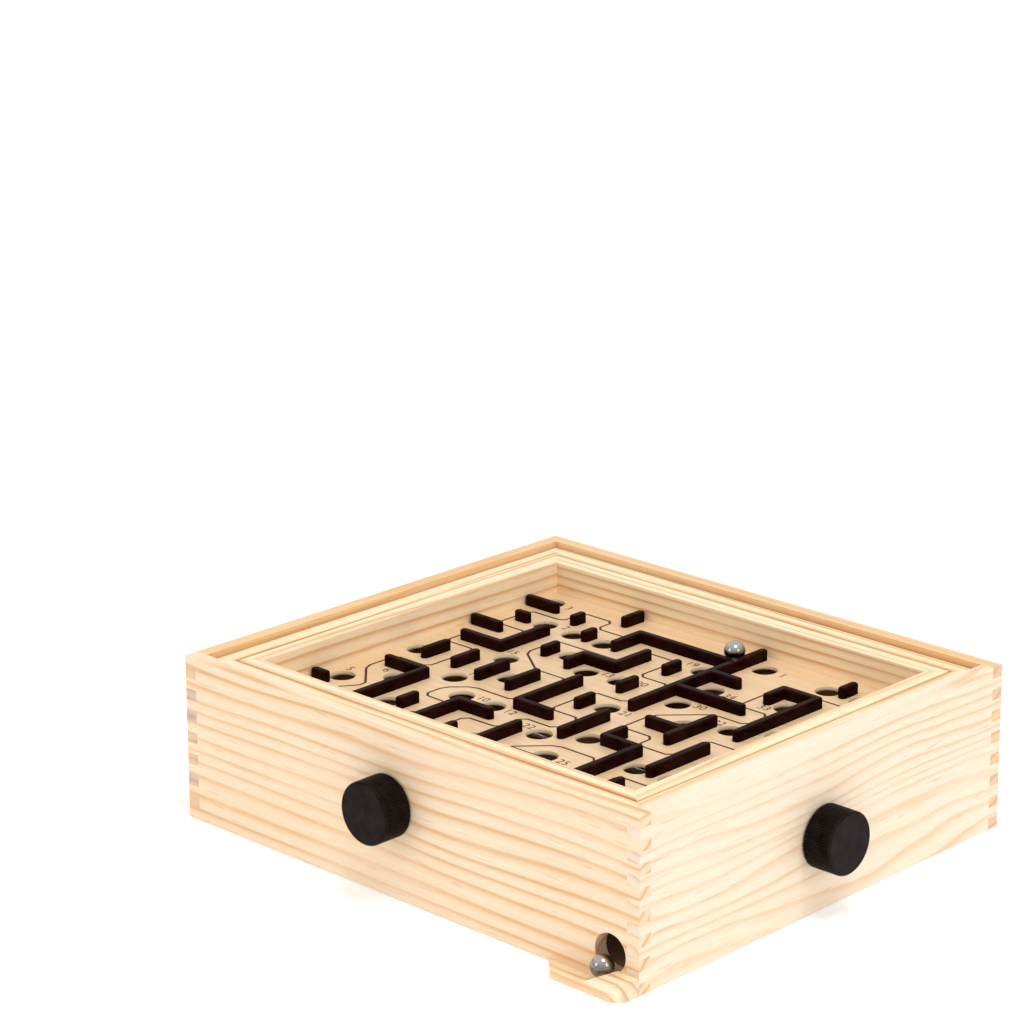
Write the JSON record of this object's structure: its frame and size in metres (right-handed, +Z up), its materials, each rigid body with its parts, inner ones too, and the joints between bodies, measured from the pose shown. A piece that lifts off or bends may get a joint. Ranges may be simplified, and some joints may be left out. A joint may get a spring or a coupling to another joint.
{
  "type": "tilt maze game",
  "caption": "Wooden tilt maze game: a board in two tilting frames, turned by two ribbed knobs, with steel balls.",
  "frame": {"origin": "bottom centre of the whole part's bounding box, on the table", "axes": "+Z up; X along the box's long side, with the side knob on +X; the front, with the exit tray, faces -Y"},
  "size_m": [0.3426, 0.3014, 0.091],
  "materials": {
    "pine": "pale pine, sanded, clear satin coat",
    "frame_pine": "pale pine, sanded, clear satin coat",
    "tray_pine": "pine block, scooped hollow a little darker",
    "hardboard": "smooth brown hardboard",
    "board": null,
    "maze_plastic": "very dark brown, glossy",
    "knob_plastic": "near-black, fine ribs on the rim, smooth face",
    "steel": "bright drawn steel",
    "ball_steel": "polished bearing steel",
    "string": "thin braided cord"
  },
  "bodies": {
    "box": {"front_wall": "pine", "back_wall": "pine", "left_wall": "pine", "right_wall": "pine", "floor_panel": "hardboard", "front_floor_cleat": "pine", "back_floor_cleat": "pine", "left_floor_cleat": "pine", "right_floor_cleat": "pine", "exit_tray": "tray_pine", "inner_frame_string": "string", "outer_frame_string": "string"},
    "outer_frame": {"outer_frame_front": "frame_pine", "outer_frame_back": "frame_pine", "outer_frame_left": "frame_pine", "outer_frame_right": "frame_pine", "outer_pivot_pins": "steel", "outer_frame_screw_eyes": "steel", "outer_frame_spring": "steel"},
    "inner_frame": {"inner_frame_front": "frame_pine", "inner_frame_back": "frame_pine", "inner_frame_left": "frame_pine", "inner_frame_right": "frame_pine", "inner_pivot_pins": "steel", "maze_board": "board", "inner_frame_screw_eyes": "steel", "inner_frame_spring": "steel", "long_branched_wall": "maze_plastic", "start_corner_wall": "maze_plastic", "zigzag_wall": "maze_plastic", "north_west_corner_wall": "maze_plastic", "south_west_corner_wall": "maze_plastic", "south_corner_wall": "maze_plastic", "middle_corner_wall": "maze_plastic", "step_wall": "maze_plastic", "hook_wall": "maze_plastic", "tee_wall": "maze_plastic", "east_corner_wall": "maze_plastic", "short_maze_walls": "maze_plastic", "medium_maze_walls": "maze_plastic", "long_maze_walls": "maze_plastic"},
    "front_shaft": {"front_shaft": "steel", "front_knob": "knob_plastic", "front_retainer": "steel"},
    "side_shaft": {"side_shaft": "steel", "side_knob": "knob_plastic", "side_retainer": "steel"},
    "maze_ball": {"maze_ball": "ball_steel"},
    "exit_ball": {"exit_ball": "ball_steel"}
  },
  "joints": [
    {"name": "outer_tilt", "type": "hinge", "parent": "box", "child": "outer_frame", "pos_m": [-0.00875, 0.00875, 0.077], "axis": [1, 0, 0], "range_deg": [-4, 4], "deforming": ["outer_frame_string"]},
    {"name": "inner_tilt", "type": "hinge", "parent": "outer_frame", "child": "inner_frame", "pos_m": [-0.00875, 0.00875, 0.077], "axis": [0, 1, 0], "range_deg": [-4, 4], "deforming": ["inner_frame_string"]},
    {"name": "side_shaft_turn", "type": "hinge", "parent": "box", "child": "side_shaft", "pos_m": [0.15375, 0.00275, 0.0402], "axis": [1, 0, 0], "range_deg": [-52, 52]},
    {"name": "front_shaft_turn", "type": "hinge", "parent": "box", "child": "front_shaft", "pos_m": [-0.01625, -0.13325, 0.0496], "axis": [0, 1, 0], "range_deg": [-39, 39]},
    {"name": "maze_ball_roll", "type": "slide", "parent": "inner_frame", "child": "maze_ball", "axis": [1, 0, 0], "range_m": [-0.055, 0]},
    {"name": "exit_ball_lift", "type": "slide", "parent": "box", "child": "exit_ball", "axis": [0, -0.8, 0.6], "range_m": [0, 0.03]}
  ],
  "couplings": [
    {"joint": "side_shaft_turn", "follows": "outer_tilt", "ratio": 12.69},
    {"joint": "front_shaft_turn", "follows": "inner_tilt", "ratio": 9.448}
  ]
}
